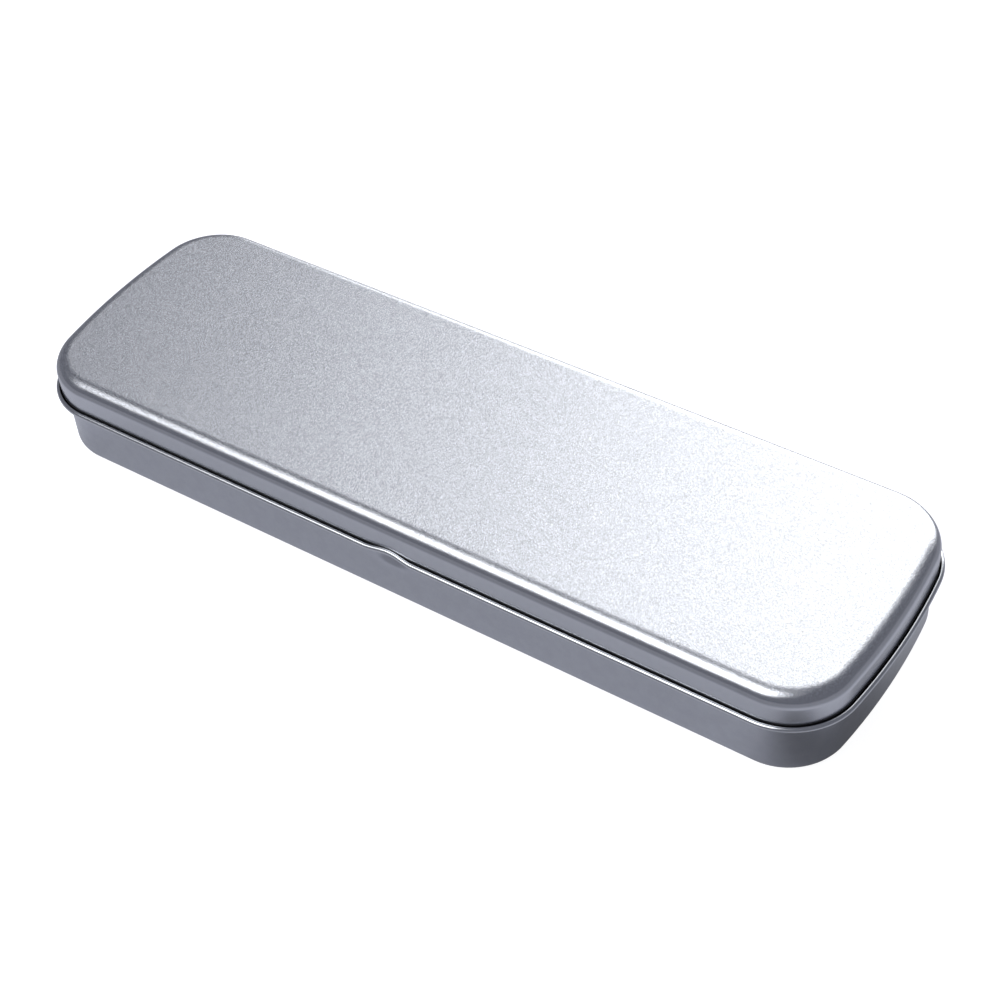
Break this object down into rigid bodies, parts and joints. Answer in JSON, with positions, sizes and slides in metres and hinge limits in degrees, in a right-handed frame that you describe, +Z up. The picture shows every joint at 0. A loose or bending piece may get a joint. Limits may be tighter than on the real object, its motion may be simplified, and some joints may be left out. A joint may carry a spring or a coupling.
{
  "type": "pencil tin",
  "caption": "Slim silver tin box for pencils: a shallow lid with a rolled rim is hinged at the back of a pressed tray, with a thumb notch at the front",
  "frame": {"origin": "on the table, under the middle of the closed lid", "axes": "X runs along the length; +Y is the hinge side at the back and -Y the side with the thumb notch; +Z is up, from the table to the lid"},
  "size_m": [0.19, 0.0608, 0.022],
  "materials": {
    "tinplate": "bare satin tinplate with a fine grain"
  },
  "bodies": {
    "base": {"base_tray": "tinplate"},
    "lid": {"lid": "tinplate"}
  },
  "joints": [
    {"name": "lid_hinge", "type": "hinge", "parent": "base", "child": "lid", "pos_m": [0, 0.0296, 0.014], "axis": [-1, 0, 0], "range_deg": [0, 110]}
  ]
}
